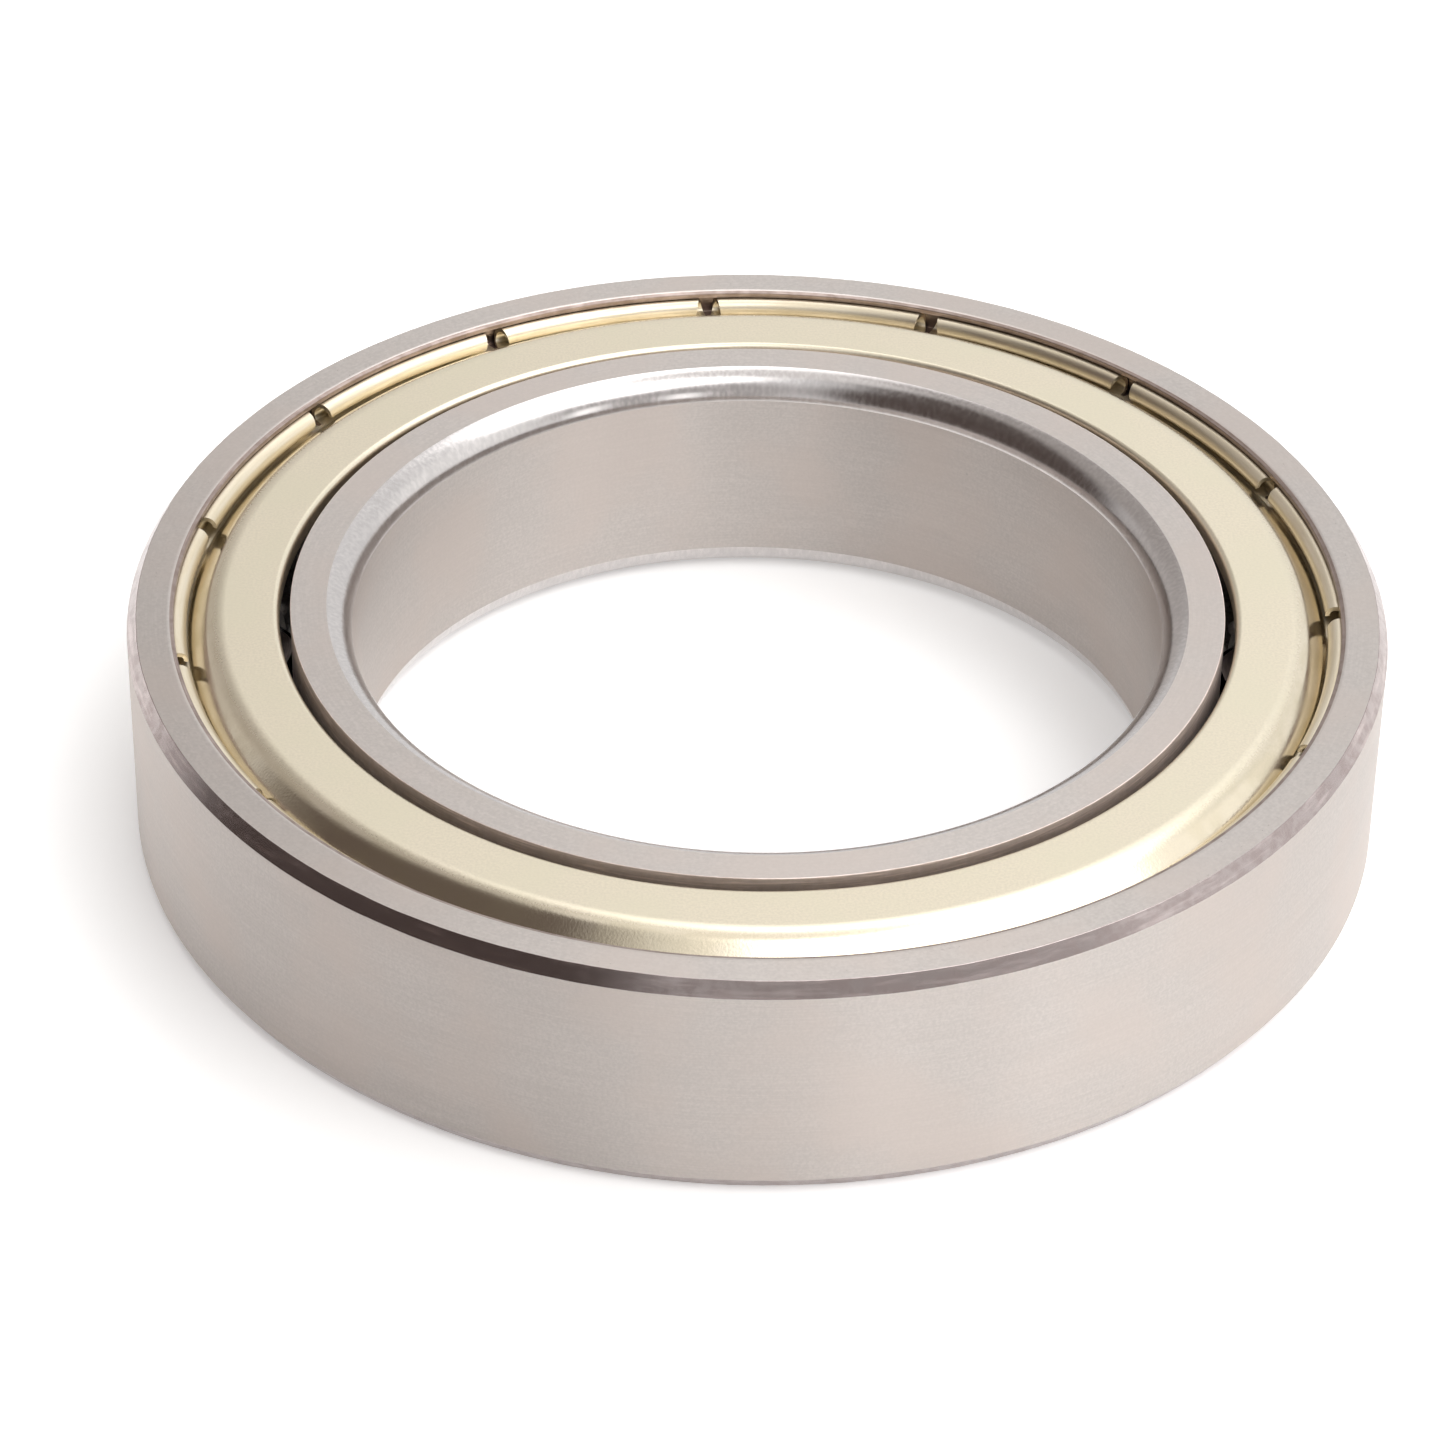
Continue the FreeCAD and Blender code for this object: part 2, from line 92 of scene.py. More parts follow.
# Shield: flat and slope by their upper side, rolled rim by its outside.
SHEET = 0.22
COLLAR = 23.55
COLLAR_EDGE = 4.95
FLAT = 5.85
SHOULDER = 26.75
SLOPE = (1.37, -1.18)
COLLAR_BEND = 0.3
SHOULDER_BEND = 1.45
ROOT_BEND = 0.35
BEAD_CENTRE = (28.65, 5.07)
BEAD_RADIUS = 0.55
BEAD_CURL = 105
NOTCHES = 15
NOTCH_ROOT = 28.3
NOTCH_ROOT_HALF = 0.10
NOTCH_TIP_HALF = 0.68
TAB_STEPS = 28
GAP_STEPS = 4
TAB_LIFT = 0.012
SHEET_WAVE = 0.006
GUARD = 0.03

# Radii between which the plating turns from the flat's look to the formed one, and to the rim's.
FORMED_ZONE = (26.3, 27.2)
RIM_ZONE = (27.9, 28.15)

# How near to an edge of the section a point has to be to share that edge's unevenness.
EDGE_REACH = 0.1
LIP_REACH = 0.06
CHAMFER_UNEVEN = (0.05, 0.04)
LIP_UNEVEN = 0.02


# Sections. A run is a list of (r, z, normal r, normal z), with the normal on its right hand.

def straight(start, end, pieces=1):
    (r0, z0), (r1, z1) = start, end
    length = math.hypot(r1 - r0, z1 - z0)
    normal = ((z1 - z0) / length, (r0 - r1) / length)
    steps = [i / pieces for i in range(pieces + 1)]
    return [(r0 + (r1 - r0) * t, z0 + (z1 - z0) * t, *normal) for t in steps]


def guarded(start, end, pieces):
    """A straight run with an extra row just inside each end, which keeps bends beside it crisp."""
    length = math.hypot(end[0] - start[0], end[1] - start[1])
    run = straight(start, end, pieces)
    for t, place in ((1 - GUARD / length, len(run) - 1), (GUARD / length, 1)):
        r = start[0] + (end[0] - start[0]) * t
        z = start[1] + (end[1] - start[1]) * t
        run.insert(place, (r, z, *run[0][2:]))
    return run


def arc(centre, radius, start, end, step=6.0):
    """An arc between two angles in degrees."""
    pieces = max(2, round(abs(end - start) / step))
    side = 1 if end > start else -1
    run = []
    for i in range(pieces + 1):
        angle = math.radians(start + (end - start) * i / pieces)
        out_r, out_z = math.cos(angle), math.sin(angle)
        run.append((centre[0] + radius * out_r, centre[1] + radius * out_z, side * out_r, side * out_z))
    return run


def arc_through(start, end, radius, step=6.0):
    """The shorter arc from start to end; a positive radius bulges to the right of travel."""
    start, end = Vector(start), Vector(end)
    chord = end - start
    right = Vector((chord.y, -chord.x)).normalized()
    rise = math.copysign(math.sqrt(radius ** 2 - (chord.length / 2) ** 2), radius)
    centre = (start + end) / 2 - right * rise
    first = math.degrees(math.atan2(start.y - centre.y, start.x - centre.x))
    last = math.degrees(math.atan2(end.y - centre.y, end.x - centre.x))
    turn = (last - first + 180) % 360 - 180
    return arc(centre, abs(radius), first, first + turn, step)


def bend(before, corner, after, radius, step=6.0):
    """The arc that rounds a corner between two straight runs."""
    corner = Vector(corner)
    back = (Vector(before) - corner).normalized()
    ahead = (Vector(after) - corner).normalized()
    reach = radius / math.tan(back.angle(ahead) / 2)
    turns_left = back.x * ahead.y - back.y * ahead.x < 0
    signed = radius if turns_left else -radius
    return arc_through(corner + back * reach, corner + ahead * reach, signed, step)


def edged(corners, finishes):
    """Straight bands between corners (r, z) or (r, z, rounding), rounded at all but both ends."""
    bands = []
    start = corners[0]
    for index, finish in enumerate(finishes):
        corner = corners[index + 1]
        if index + 2 < len(corners):
            rounding = corner[2] if len(corner) > 2 else EDGE_ROUND
            curve = bend(corners[index][:2], corner[:2], corners[index + 2][:2], rounding, 15.0)
            bands.append((finish, straight(start[:2], curve[0][:2])))
            bands.append((finish, curve))
            start = curve[-1]
        else:
            bands.append((finish, straight(start[:2], corner[:2])))
    return bands


def mirrored(bands):
    """The bands on the lower side, in the order that carries on round the section."""
    return [
        (finish, [(r, -z, nr, -nz) for r, z, nr, nz in reversed(run)])
        for finish, run in reversed(bands)
    ]


# Meshes.

def make_piece(name, vertices, faces, slots, materials):
    mesh = bpy.data.meshes.new(name)
    mesh.from_pydata([Vector(vertex) * MM for vertex in vertices], [], faces)
    for material in materials:
        mesh.materials.append(material)
    mesh.polygons.foreach_set("material_index", slots)
    mesh.polygons.foreach_set("use_smooth", [True] * len(faces))
    piece = bpy.data.objects.new(name, mesh)
    bpy.context.scene.collection.objects.link(piece)
    return piece


def around(r, turn, z):
    return (r * math.cos(turn), r * math.sin(turn), z)


def lathe(name, bands, materials, wobble):
    """A closed ring from (finish, run) bands that go anticlockwise round its section."""
    rows = []
    segments = []
    for finish, run in bands:
        rows += run[:-1]
        segments += [(finish, first[2:], second[2:]) for first, second in zip(run, run[1:])]
    turns = [2 * math.pi * i / RING_STEPS for i in range(RING_STEPS)]
    vertices = []
    for r, z, *_ in rows:
        for turn in turns:
            shift_r, shift_z = wobble(r, z, turn)
            vertices.append(around(r + shift_r, turn, z + shift_z))
    faces = []
    slots = []
    normals = []
    for index, (finish, first, second) in enumerate(segments):
        low = index * RING_STEPS
        high = (index + 1) % len(rows) * RING_STEPS
        for i in range(RING_STEPS):
            j = (i + 1) % RING_STEPS
            faces.append((low + i, low + j, high + j, high + i))
            slots.append(finish)
            for turn, (nr, nz) in ((i, first), (j, first), (j, second), (i, second)):
                normals.append(around(nr, turns[turn], nz))
    piece = make_piece(name, vertices, faces, slots, materials)
    piece.data.normals_split_custom_set(normals)
    return piece


def ring_noise(turn, size, seed):
    """Smooth noise round a circle, about -1 to 1, with features of roughly size millimetres."""
    scale = OUTSIDE / size
    return noise.noise(Vector((math.cos(turn) * scale, math.sin(turn) * scale, seed)))


def rim_wobble(r, z, turn):
    """Uneven edges of the unground chamfer and lip, which never leave the ground faces."""
    seed = 3.0 if z > 0 else 17.0
    rough = ring_noise(turn, 9, seed) * 0.5 + ring_noise(turn, 1.6, seed + 5) * 0.35
    rough += ring_noise(turn, 0.5, seed + 9) * 0.3
    if abs(r - (OUTSIDE - RIM_CORNER[0])) < EDGE_REACH and abs(z) > HALF_WIDTH - EDGE_REACH:
        return rough * CHAMFER_UNEVEN[0], 0
    if abs(abs(z) - (HALF_WIDTH - RIM_CORNER[1])) < EDGE_REACH and r > OUTSIDE - EDGE_REACH:
        return 0, rough * CHAMFER_UNEVEN[1]
    if abs(r - LIP) < LIP_REACH and abs(z) > LIP_HEIGHT + EDGE_REACH:
        return rough * LIP_UNEVEN, 0
    return 0, 0


def still(r, z, turn):
    return 0, 0


def make_outer_ring(wall, chamfer, face, turned, raceway):
    groove = math.degrees(math.acos((OUTER_LAND - OUTER_GROOVE_CENTRE) / GROOVE_RADIUS))
    groove_edge = GROOVE_RADIUS * math.sin(math.radians(groove))
    upper = edged(
        [
            (OUTSIDE, 0),
            (OUTSIDE, HALF_WIDTH - RIM_CORNER[1]),
            (OUTSIDE - RIM_CORNER[0], HALF_WIDTH),
            (MOUTH[0], HALF_WIDTH, MOUTH_ROUND),
            (LIP, MOUTH[1]),
            (LIP, LIP_HEIGHT),
            UNDERCUT,
            (UNDERCUT[0], SEAT),
            (OUTER_LAND, SEAT),
            (OUTER_LAND, groove_edge),
        ],
        [0, 1, 2, 3, 3, 3, 3, 3, 3],
    )
    race = [(4, arc((OUTER_GROOVE_CENTRE, 0), GROOVE_RADIUS, groove, -groove, 3.0))]
    bands = upper + race + mirrored(upper)
    return lathe("outer_ring_turned", bands, [wall, chamfer, face, turned, raceway], rim_wobble)


def make_inner_ring(wall, corner, face, turned, raceway):
    groove = math.degrees(math.acos((INNER_GROOVE_CENTRE - INNER_LAND) / GROOVE_RADIUS))
    groove_edge = GROOVE_RADIUS * math.sin(math.radians(groove))
    face_edge = (BORE + BORE_CORNER[0], HALF_WIDTH)
    wall_end = (BORE, HALF_WIDTH - BORE_CORNER[1])
    upper = edged(
        [(INNER_LAND, groove_edge), (INNER_LAND, HALF_WIDTH), face_edge],
        [3, 2],
    )
    upper.append((1, arc_through(face_edge, wall_end, BORE_CORNER_CURVE, 4.0)))
    upper.append((0, straight(wall_end, (BORE, 0))))
    race = [(4, arc((INNER_GROOVE_CENTRE, 0), GROOVE_RADIUS, 180 + groove, 180 - groove, 3.0))]
    bands = race + upper + mirrored(upper)
    return lathe("inner_ring_turned", bands, [wall, corner, face, turned, raceway], still)


def shield_path():
    """The sheet's middle line from the collar's edge to the tip of the rolled rim."""
    half = SHEET / 2
    steep = math.hypot(*SLOPE)
    slope_up = (-SLOPE[1] / steep, SLOPE[0] / steep)
    level = FLAT - half
    collar = COLLAR + half
    shoulder = SHOULDER - slope_up[0] * half / (1 + slope_up[1])
    bottom = BEAD_CENTRE[1] - BEAD_RADIUS + half
    root = shoulder + (level - bottom) * SLOPE[0] / -SLOPE[1]
    corners = [
        (collar, COLLAR_EDGE),
        (collar, level),
        (shoulder, level),
        (root, bottom),
        (BEAD_CENTRE[0], bottom),
    ]
    radii = [COLLAR_BEND - half, SHOULDER_BEND - half, ROOT_BEND]
    bends = [
        bend(corners[i], corners[i + 1], corners[i + 2], radius) for i, radius in enumerate(radii)
    ]
    path = guarded(corners[0], bends[0][0][:2], 2)[:-1] + bends[0]
    path += guarded(bends[0][-1][:2], bends[1][0][:2], 8)[1:-1] + bends[1]
    path += guarded(bends[1][-1][:2], bends[2][0][:2], 3)[1:-1] + bends[2]
    gap_row = len(path)
    path += straight((NOTCH_ROOT, bottom), corners[4], 2)[:-1]
    path += arc(BEAD_CENTRE, BEAD_RADIUS - half, -90, 90 + BEAD_CURL, 9.0)
    return path, gap_row


def shield_columns(path, gap_row):
    """For each row, the angles of its columns from the middle of one notch to the next."""
    lengths = [0.0]
    for first, second in zip(path, path[1:]):
        lengths.append(lengths[-1] + math.hypot(second[0] - first[0], second[1] - first[1]))
    rolled = lengths[-1] - lengths[gap_row]
    pitch = 2 * math.pi / NOTCHES
    columns = []
    for index, (r, *_) in enumerate(path):
        along = max(0.0, (lengths[index] - lengths[gap_row]) / rolled)
        half = NOTCH_ROOT_HALF + (NOTCH_TIP_HALF - NOTCH_ROOT_HALF) * along
        edge = math.asin(half / (r if index > gap_row else path[gap_row][0]))
        tab = [edge + (pitch - 2 * edge) * i / TAB_STEPS for i in range(TAB_STEPS + 1)]
        gap = [pitch - edge + 2 * edge * i / GAP_STEPS for i in range(1, GAP_STEPS)]
        columns.append((along, tab + gap))
    return columns


def make_shield(name, plating):
    path, gap_row = shield_path()
    columns = shield_columns(path, gap_row)
    per_pitch = TAB_STEPS + GAP_STEPS
    pitch = 2 * math.pi / NOTCHES
    vertices = []
    number = {}
    for row, ((r, z, nr, nz), (along, angles)) in enumerate(zip(path, columns)):
        for sector in range(NOTCHES):
            lift = TAB_LIFT * math.sin(sector * 2.4) * along
            for column, angle in enumerate(angles):
                if row > gap_row and column > TAB_STEPS:
                    continue
                turn = angle + sector * pitch
                wave = SHEET_WAVE * (ring_noise(turn, 4, 2.0 + along) + 0.5 * ring_noise(turn, 1.5, 7.0))
                wave *= min(1.0, along * 4)
                for side in (-1, 1):
                    number[side, row, sector * per_pitch + column] = len(vertices)
                    push = side * SHEET / 2 + wave + lift
                    vertices.append(around(r + nr * push, turn, z + nz * push))
    total = NOTCHES * per_pitch
    last = len(path) - 1
    faces = []

    def face(*corners):
        faces.append([number[side, row, column % total] for side, row, column in corners])

    for column in range(total):
        following = column + 1
        in_tab = column % per_pitch < TAB_STEPS
        end = last if in_tab else gap_row
        for row in range(end):
            outer = (1, row, column), (1, row, following)
            face(*outer, (1, row + 1, following), (1, row + 1, column))
            inner = (-1, row, column), (-1, row + 1, column)
            face(*inner, (-1, row + 1, following), (-1, row, following))
        face((-1, 0, column), (-1, 0, following), (1, 0, following), (1, 0, column))
        face((1, end, column), (1, end, following), (-1, end, following), (-1, end, column))
    for sector in range(NOTCHES):
        near = sector * per_pitch
        far = near + TAB_STEPS
        for row in range(gap_row, last):
            face((-1, row, near), (1, row, near), (1, row + 1, near), (-1, row + 1, near))
            face((-1, row, far), (-1, row + 1, far), (1, row + 1, far), (1, row, far))
    piece = make_piece(name, vertices, faces, [0] * len(faces), [plating])
    piece.data.set_sharp_from_angle(angle=math.radians(40))
    return piece


def turn_over(piece, name):
    """A copy of a piece turned half a turn about X."""
    mesh = piece.data.copy()
    mesh.name = name
    mesh.transform(Matrix.Rotation(math.pi, 4, "X"))
    other = bpy.data.objects.new(name, mesh)
    bpy.context.scene.collection.objects.link(other)
    return other


# Finishes.

# Turn of the anisotropy that stretches highlights across lines that run round the axis.
ACROSS_LINES = 0.25


class Finish:
    """A node material; each method adds a node and gives its output."""

    def __init__(self, name, **settings):
        self.material = bpy.data.materials.new(name)
        self.material.use_nodes = True
        self.tree = self.material.node_tree
        self.shader = self.tree.nodes["Principled BSDF"]
        for socket, value in settings.items():
            self.shader.inputs[socket.replace("_", " ")].default_value = value
        self.shader.inputs["Anisotropic Rotation"].default_value = ACROSS_LINES
        self.place = self.add("ShaderNodeTexCoord").outputs["Object"]
        parts = self.add("ShaderNodeSeparateXYZ", self.place)
        self.height = parts.outputs["Z"]
        flat = self.vector("MULTIPLY", self.place, (1, 1, 0))
        self.radius = self.add("ShaderNodeVectorMath", flat, operation="LENGTH").outputs["Value"]
        self.compass = self.vector("NORMALIZE", flat)

    def add(self, kind, *inputs, **options):
        node = self.tree.nodes.new(kind)
        sockets = {}
        for key, value in options.items():
            if hasattr(node, key):
                setattr(node, key, value)
            else:
                sockets[key] = value
        for index, value in enumerate(inputs):
            self.connect(node.inputs[index], value)
        for key, value in sockets.items():
            self.connect(node.inputs[key], value)
        return node

    def connect(self, socket, value):
        if isinstance(value, bpy.types.NodeSocket):
            self.tree.links.new(value, socket)
        else:
            socket.default_value = value

    def vector(self, operation, *inputs):
        return self.add("ShaderNodeVectorMath", *inputs, operation=operation).outputs["Vector"]

    def math(self, operation, *inputs):
        return self.add("ShaderNodeMath", *inputs, operation=operation).outputs["Value"]

    def noise(self, place, size, detail=2.0):
        """Noise with features of size millimetres."""
        node = self.add("ShaderNodeTexNoise", Vector=place, Scale=1 / (size * MM), Detail=detail)
        return node.outputs["Fac"]

    def remap(self, value, low, high, new_low, new_high):
        node = self.add("ShaderNodeMapRange", value, low, high, new_low, new_high)
        node.interpolation_type = "SMOOTHSTEP"
        return node.outputs["Result"]

    def mix(self, share, first, second):
        node = self.tree.nodes.new("ShaderNodeMix")
        node.data_type = "RGBA"
        for socket, value in ((0, share), (6, first), (7, second)):
            self.connect(node.inputs[socket], value)
        return node.outputs[2]

    def round_place(self, along, across):
        """A place for streaks round the axis: along and across are their sizes in millimetres."""
        turn = self.vector("SCALE", self.compass)
        turn.node.inputs["Scale"].default_value = OUTSIDE * MM
        reach = self.math("ADD", self.height, self.radius)
        reach = self.math("MULTIPLY", reach, along / across)
        lift = self.add("ShaderNodeCombineXYZ", Z=reach).outputs["Vector"]
        return self.vector("ADD", turn, lift)

    def bump(self, height, strength, depth):
        """Relief of depth millimetres."""
        node = self.add("ShaderNodeBump", Strength=strength, Distance=depth * MM, Height=height)
        return node.outputs["Normal"]

    def line_up(self):
        """Lay the shader's anisotropy round the axis."""
        tangent = self.add("ShaderNodeTangent")
        tangent.direction_type = "RADIAL"
        tangent.axis = "Z"
        self.use("Tangent", tangent.outputs["Tangent"])

    def use(self, socket, value):
        self.tree.links.new(value, self.shader.inputs[socket])


def shade(colour, factor):
    return (*[channel * factor for channel in colour[:3]], 1)


def make_ground(name, colour, roughness, lay, grain, streak):
    """Ground steel: fine grain, faint lines round the axis, cloudy tone and stray nicks."""
    f = Finish(name, Metallic=1.0, Anisotropic=lay)
    f.line_up()
    fine = f.noise(f.place, grain, 3.0)
    cloud = f.noise(f.place, 7.0, 3.0)
    lines = f.noise(f.round_place(6.0, streak), 6.0, 3.0)
    tone = f.mix(f.remap(fine, 0.3, 0.7, 0, 1), shade(colour, 0.93), shade(colour, 1.06))
    tone = f.mix(f.remap(lines, 0.3, 0.7, 0, 0.45), tone, shade(colour, 0.9))
    warm = (colour[0] * 1.03, colour[1] * 0.985, colour[2] * 0.96, 1)
    tone = f.mix(f.remap(cloud, 0.4, 0.65, 0, 0.6), tone, warm)
    cells = f.add("ShaderNodeTexVoronoi", Vector=f.place, Scale=1 / (2.2 * MM))
    spot = f.remap(cells.outputs["Distance"], 0.02, 0.045, 1, 0)
    chance = f.add("ShaderNodeSeparateColor", cells.outputs["Color"]).outputs["Red"]
    nick = f.math("MULTIPLY", spot, f.remap(chance, 0.86, 0.88, 0, 0.5))
    tone = f.mix(f.math("MULTIPLY", nick, 0.5), tone, shade(colour, 0.5))
    f.use("Base Color", tone)
    rough = f.math("ADD", f.remap(lines, 0.25, 0.75, -0.02, 0.02), f.remap(fine, 0.2, 0.8, -0.01, 0.01))
    f.use("Roughness", f.math("ADD", rough, roughness))
    relief = f.math("ADD", f.math("MULTIPLY", fine, 0.6), lines)
    relief = f.math("SUBTRACT", relief, nick)
    f.use("Normal", f.bump(relief, 0.15, 0.001))
    return f.material


def make_turned(name, colour, scale_colour, roughness, streak):
    """Turned and heat treated steel left unground: brown scale in patches with bright streaks."""
    f = Finish(name, Metallic=1.0)
    lines = f.noise(f.round_place(3.0, streak), 3.0, 3.0)
    patch = f.noise(f.place, 0.6, 4.0)
    tone = f.mix(f.remap(patch, 0.35, 0.65, 0, 1), colour, scale_colour)
    tone = f.mix(f.remap(lines, 0.45, 0.75, 0, 0.6), tone, shade(colour, 1.5))
    f.use("Base Color", tone)
    f.use("Roughness", f.math("ADD", f.remap(patch, 0.3, 0.7, -0.04, 0.04), roughness))
    relief = f.math("ADD", lines, f.math("MULTIPLY", patch, 0.8))
    f.use("Normal", f.bump(relief, 0.5, 0.004))
    return f.material


def make_corner(colour, roughness):
    """Bore corner: tumbled bright, with fine marks that run down the curve and darker patches."""
    f = Finish("corner_steel", Metallic=1.0)
    across = f.vector("MULTIPLY", f.place, (1, 1, 0.2))
    marks = f.noise(across, 0.2, 3.0)
    patch = f.noise(f.place, 1.5, 2.0)
    tone = f.mix(f.remap(marks, 0.35, 0.7, 0, 1), shade(colour, 0.94), shade(colour, 1.05))
    tone = f.mix(f.remap(patch, 0.5, 0.75, 0, 0.5), tone, shade(colour, 0.85))
    f.use("Base Color", tone)
    f.use("Roughness", f.math("ADD", f.remap(marks, 0.3, 0.7, -0.03, 0.03), roughness))
    f.use("Normal", f.bump(marks, 0.1, 0.0015))
    return f.material


def make_raceway():
    """Honed raceway: near mirror with very fine lines round the axis and a darker ball track."""
    f = Finish("raceway_steel", Metallic=1.0)
    lines = f.noise(f.round_place(8.0, 0.05), 8.0, 2.0)
    colour = (0.60, 0.59, 0.58, 1)
    track = f.remap(f.math("ABSOLUTE", f.height), 0.4 * MM, 1.1 * MM, 0.5, 0)
    f.use("Base Color", f.mix(track, colour, shade(colour, 0.8)))
    f.use("Roughness", f.remap(lines, 0.3, 0.7, 0.07, 0.14))
    f.use("Normal", f.bump(lines, 0.2, 0.001))
    return f.material


def make_plating():
    """Pale yellow passivated zinc: satin on the flat, brighter and tinted where the sheet bends."""
    f = Finish("shield_zinc", Metallic=1.0)
    base = (0.77, 0.70, 0.56, 1)
    fine = f.noise(f.place, 0.13, 3.0)
    cloud = f.noise(f.place, 5.0, 3.0)
    streaks = f.noise(f.round_place(2.5, 0.25), 2.5, 3.0)
    formed_zone = [radius * MM for radius in FORMED_ZONE]
    rim_zone = [radius * MM for radius in RIM_ZONE]
    formed = f.remap(f.radius, *formed_zone, 0, 1)
    tone = f.mix(f.remap(fine, 0.3, 0.7, 0, 1), shade(base, 0.95), shade(base, 1.04))
    tone = f.mix(f.remap(cloud, 0.4, 0.65, 0, 0.5), tone, (0.75, 0.70, 0.545, 1))
    olive = f.mix(f.remap(streaks, 0.35, 0.65, 0, 1), (0.80, 0.71, 0.56, 1), (0.71, 0.62, 0.46, 1))
    tone = f.mix(f.math("MULTIPLY", formed, 0.7), tone, olive)
    f.use("Base Color", tone)
    satin = f.remap(fine, 0.2, 0.8, 0.30, 0.40)
    rolled = f.remap(f.radius, *rim_zone, 0, 0.2)
    bright = f.math("ADD", f.remap(streaks, 0.3, 0.7, 0.13, 0.22), rolled)
    rough = f.math("MULTIPLY", satin, f.math("SUBTRACT", 1.0, formed))
    f.use("Roughness", f.math("ADD", rough, f.math("MULTIPLY", bright, formed)))
    grain = f.math("MULTIPLY", fine, f.remap(f.radius, *formed_zone, 1, 2.5))
    relief = f.math("ADD", grain, f.math("MULTIPLY", streaks, 0.5))
    f.use("Normal", f.bump(relief, 0.4, 0.004))
    return f.material


def make_strip():
    """Cage strip: semi-bright rolled steel, darker in random patches."""
    f = Finish("cage_steel", Metallic=1.0)
    base = (0.46, 0.45, 0.44, 1)
    fine = f.noise(f.place, 0.2, 4.0)
    grey = f.noise(f.place, 2.0, 2.0)
    tone = f.mix(f.remap(fine, 0.3, 0.7, 0, 1), shade(base, 0.85), shade(base, 1.12))
    tone = f.mix(f.remap(grey, 0.45, 0.7, 0, 0.5), tone, shade(base, 0.7))
    f.use("Base Color", tone)
    f.use("Roughness", f.remap(fine, 0.25, 0.75, 0.26, 0.42))
    f.use("Normal", f.bump(fine, 0.4, 0.006))
    return f.material


def make_lapped():
    """Lapped balls: mirror with the faintest haze."""
    f = Finish("ball_steel", Metallic=1.0)
    haze = f.noise(f.place, 1.2, 4.0)
    base = (0.66, 0.66, 0.665, 1)
    f.use("Base Color", f.mix(f.remap(haze, 0.4, 0.7, 0, 1), base, shade(base, 0.94)))
    f.use("Roughness", f.remap(haze, 0.3, 0.7, 0.035, 0.08))
    return f.material


# Stage.

# Soft lights painted on the sky in turn. Each has a radiance and the sides that bound it: a
# direction, and the sines of the angles above the plane square to it where the light fades in.
# In order: a lamp at the right, darker patches of the room, the key light high up and mostly on
# the right, a dimmer zenith that keeps the flat faces from clipping from above, and two strips.
SKY = (1, 1, 1, 1)
LIGHTS = [
    ((1.25, 1.25, 1.24, 1), [((0.97, -0.1, 0.22), 0.75, 0.95)]),
    ((0.60, 0.58, 0.57, 1), [((0.4, -0.85, 0.35), 0.75, 0.92)]),
    ((0.60, 0.57, 0.55, 1), [((-0.643, 0.766, 0), 0.8, 0.95)]),
    ((0.50, 0.47, 0.45, 1), [((-0.413, 0.492, 0.766), 0.75, 0.95)]),
    ((0.12, 0.095, 0.086, 1), [((-0.85, -0.42, 0.3), 0.6, 0.82)]),
    ((0.14, 0.115, 0.105, 1), [((-0.55, -0.15, 0.82), 0.9, 0.99)]),
    ((3.2, 3.2, 3.2, 1), [
        ((0.993, 0.098, 0.061), -0.1, 0.15),
        ((-0.5, -0.6, 0.62), -0.03, 0.13),
        ((0.45, 0.66, 0.60), 0.04, 0.2),
        ((0, 0, 1), 0.54, 0.66),
    ]),
    ((1.10, 1.08, 1.06, 1), [((0, 0, 1), 0.93, 0.98)]),
    ((2.6, 2.6, 2.6, 1), [
        ((0.961, 0.276, 0), -0.02, 0.06),
        ((-0.899, -0.438, 0), -0.02, 0.06),
        ((0, 0, -1), -0.4, -0.25),
    ]),
    ((2.6, 2.6, 2.6, 1), [
        ((0.731, 0.682, 0), -0.02, 0.06),
        ((-0.602, -0.799, 0), -0.02, 0.06),
        ((0, 0, -1), -0.4, -0.25),
    ]),
]


def make_sky():
    world = bpy.data.worlds.new("studio")
    bpy.context.scene.world = world
    world.use_nodes = True
    tree = world.node_tree

    def add(kind, inputs, output, **options):
        node = tree.nodes.new(kind)
        for key, value in options.items():
            setattr(node, key, value)
        for key, value in inputs.items():
            if isinstance(value, bpy.types.NodeSocket):
                tree.links.new(value, node.inputs[key])
            else:
                node.inputs[key].default_value = value
        return node.outputs[output]

    place = add("ShaderNodeTexCoord", {}, "Generated")
    level = SKY
    for radiance, sides in LIGHTS:
        share = 1.0
        for direction, low, high in sides:
            square = {0: place, 1: Vector(direction).normalized()}
            rise = add("ShaderNodeVectorMath", square, "Value", operation="DOT_PRODUCT")
            fade = {"Value": rise, "From Min": low, "From Max": high}
            fade = add("ShaderNodeMapRange", fade, "Result", interpolation_type="SMOOTHSTEP")
            share = add("ShaderNodeMath", {0: share, 1: fade}, "Value", operation="MULTIPLY")
        level = add("ShaderNodeMix", {0: share, 6: level, 7: radiance}, 2, data_type="RGBA")
    seen = add("ShaderNodeLightPath", {}, "Is Camera Ray")
    level = add("ShaderNodeMix", {0: seen, 6: level, 7: SKY}, 2, data_type="RGBA")
    tree.links.new(level, tree.nodes["Background"].inputs["Color"])


# Table: its radius in metres, its corners, and its own faint glow, which lifts the shadows.
TABLE_RADIUS = 3.0
TABLE_STEPS = 96
TABLE_GLOW = 0.30


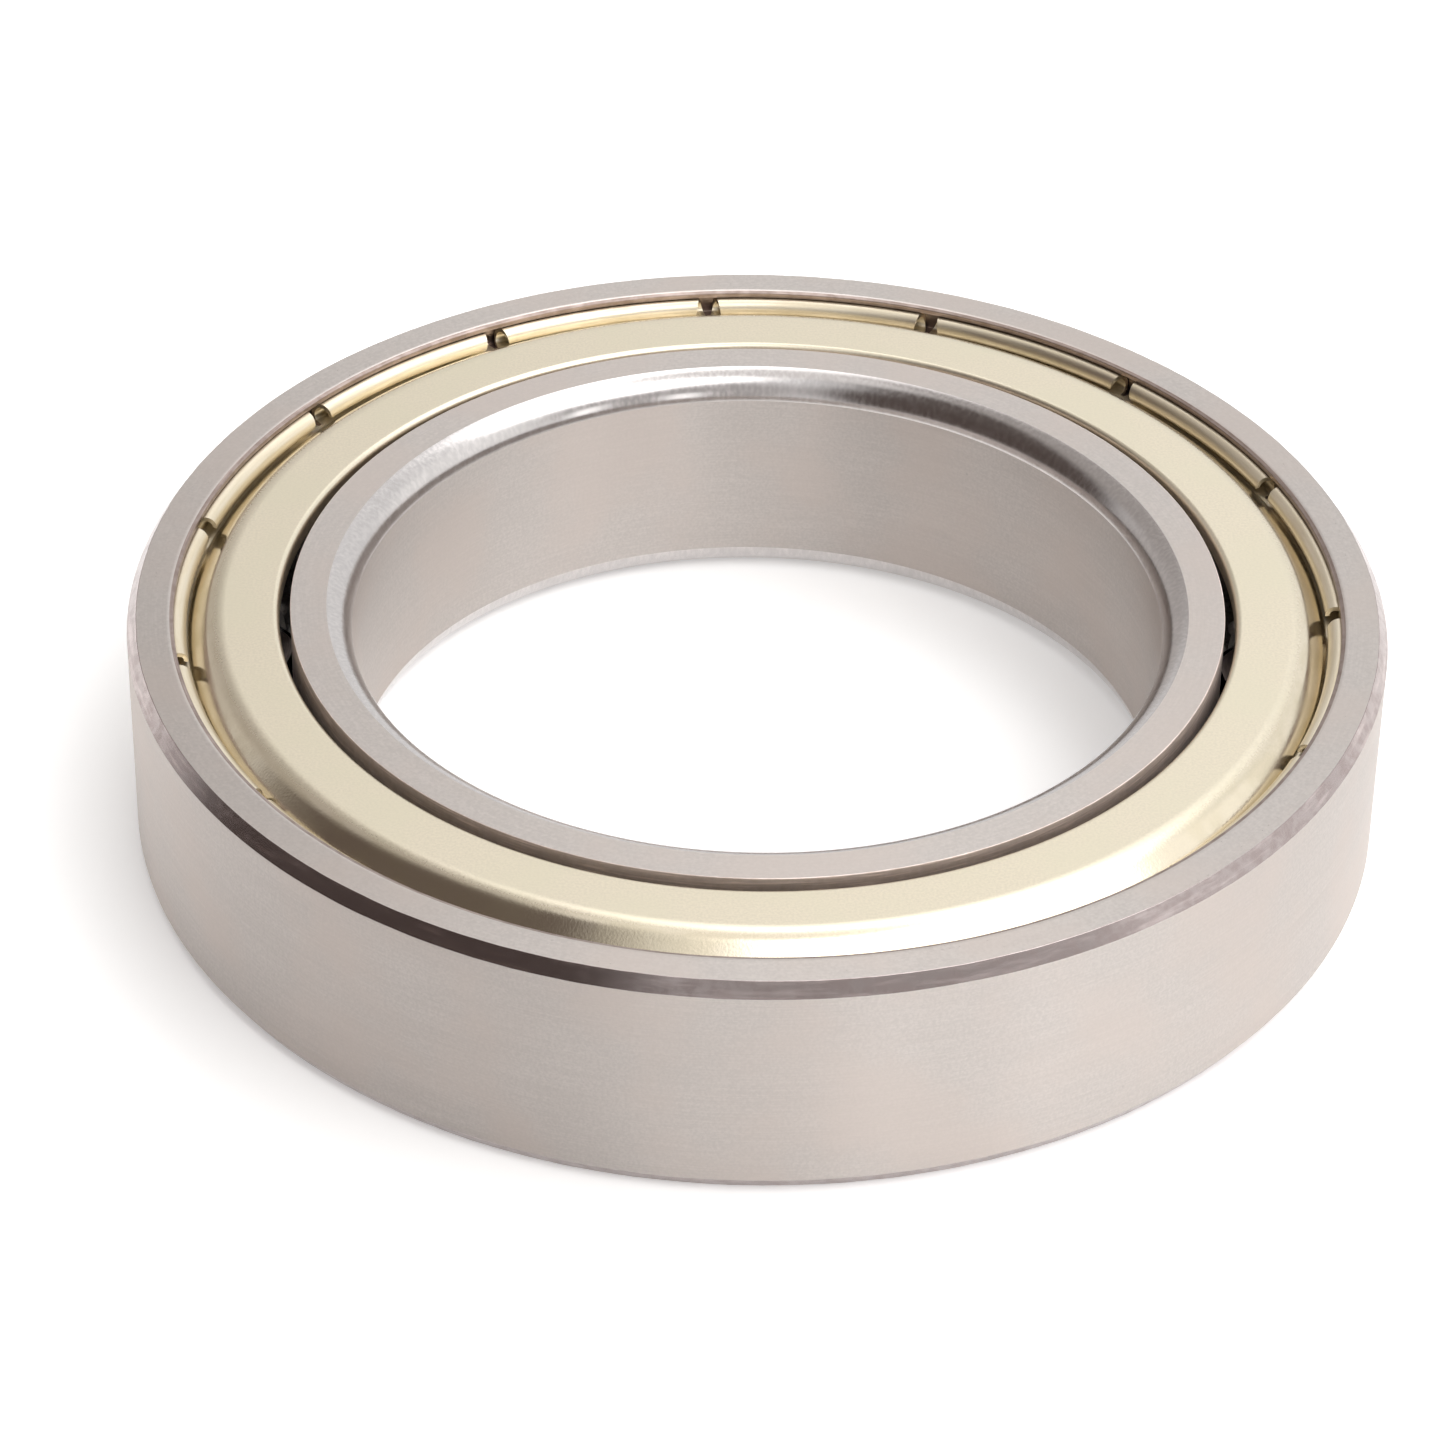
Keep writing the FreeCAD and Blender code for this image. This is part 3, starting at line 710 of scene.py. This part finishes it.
def make_floor():
    """A round white table top with a very slight tone."""
    mesh = bpy.data.meshes.new("table")
    level = cad_box[0].z
    turns = [2 * math.pi * i / TABLE_STEPS for i in range(TABLE_STEPS)]
    rim = [around(TABLE_RADIUS, turn, level) for turn in turns]
    mesh.from_pydata(rim, [], [range(TABLE_STEPS)])
    glow = {"Emission_Color": SKY, "Emission_Strength": TABLE_GLOW}
    f = Finish("table_white", Roughness=0.9, Specular_IOR_Level=0.1, **glow)
    cloud = f.noise(f.place, 30.0, 2.0)
    f.use("Base Color", f.mix(cloud, (0.92, 0.915, 0.91, 1), (0.95, 0.945, 0.94, 1)))
    mesh.materials.append(f.material)
    table = bpy.data.objects.new("table", mesh)
    bpy.context.scene.collection.objects.link(table)


# Camera: distance and height of view, then small turns of the aim, all measured at the origin.
CAMERA_DISTANCE = 0.26784
CAMERA_HEIGHT = 35.486
CAMERA_YAW = -0.349
CAMERA_PITCH = -0.313
CAMERA_ROLL = 1.156
CAMERA_LENS = 133.57
CAMERA_SENSOR = 36.0


def make_camera():
    data = bpy.data.cameras.new("camera")
    data.lens = CAMERA_LENS
    data.sensor_width = CAMERA_SENSOR
    data.clip_start = 0.01
    data.clip_end = 20.0
    camera = bpy.data.objects.new("camera", data)
    bpy.context.scene.collection.objects.link(camera)
    bpy.context.scene.camera = camera
    tilt = Matrix.Rotation(math.radians(90 - CAMERA_HEIGHT), 4, "X")
    aim = Matrix.Rotation(-math.radians(CAMERA_YAW), 4, "Y")
    aim @= Matrix.Rotation(math.radians(CAMERA_PITCH), 4, "X")
    aim @= Matrix.Rotation(math.radians(CAMERA_ROLL), 4, "Z")
    away = Matrix.Translation((0, 0, CAMERA_DISTANCE))
    camera.matrix_world = tilt @ away @ aim


# Assembly.

def dress(piece, node, body):
    """Let a piece stand for a CAD node."""
    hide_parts(node)
    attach(piece, body)


STEEL = (0.585, 0.541, 0.512, 1)
ground_face = make_ground("ground_face", STEEL, 0.30, 0.4, 0.16, 0.10)
inner_face = make_ground("inner_face_steel", shade(STEEL, 0.99), 0.38, 0.15, 0.16, 0.10)
ground_wall = make_ground("ground_wall", STEEL, 0.46, 0.9, 0.14, 0.07)
scale_steel = make_turned("scale_steel", (0.34, 0.275, 0.25, 1), (0.27, 0.21, 0.185, 1), 0.34, 0.12)
land_steel = make_turned("land_steel", (0.80, 0.70, 0.66, 1), (0.72, 0.62, 0.57, 1), 0.6, 0.12)
chamfer_steel = make_turned("chamfer_steel", (0.42, 0.365, 0.355, 1), (0.36, 0.30, 0.29, 1), 0.21, 0.10)
raceway_steel = make_raceway()

outer_ring = make_outer_ring(ground_wall, chamfer_steel, ground_face, scale_steel, raceway_steel)
dress(outer_ring, "outer_ring", "outer")
inner_ring = make_inner_ring(
    ground_wall, make_corner((0.60, 0.57, 0.56, 1), 0.20), inner_face, land_steel, raceway_steel
)
dress(inner_ring, "inner_ring", "inner")

shield_top = make_shield("shield_top_pressed", make_plating())
shield_bottom = turn_over(shield_top, "shield_bottom_pressed")
dress(shield_top, "shield_top", "outer")
dress(shield_bottom, "shield_bottom", "outer")

strip = make_strip()
lapped = make_lapped()
for node_name, node in frame["nodes"].items():
    if node_name.startswith("ball_"):
        node.data.materials.clear()
        node.data.materials.append(lapped)
    elif node_name.startswith("cage_"):
        node.data.materials.clear()
        node.data.materials.append(strip)

make_sky()
make_floor()
make_camera()
bpy.context.scene.view_settings.view_transform = "Standard"
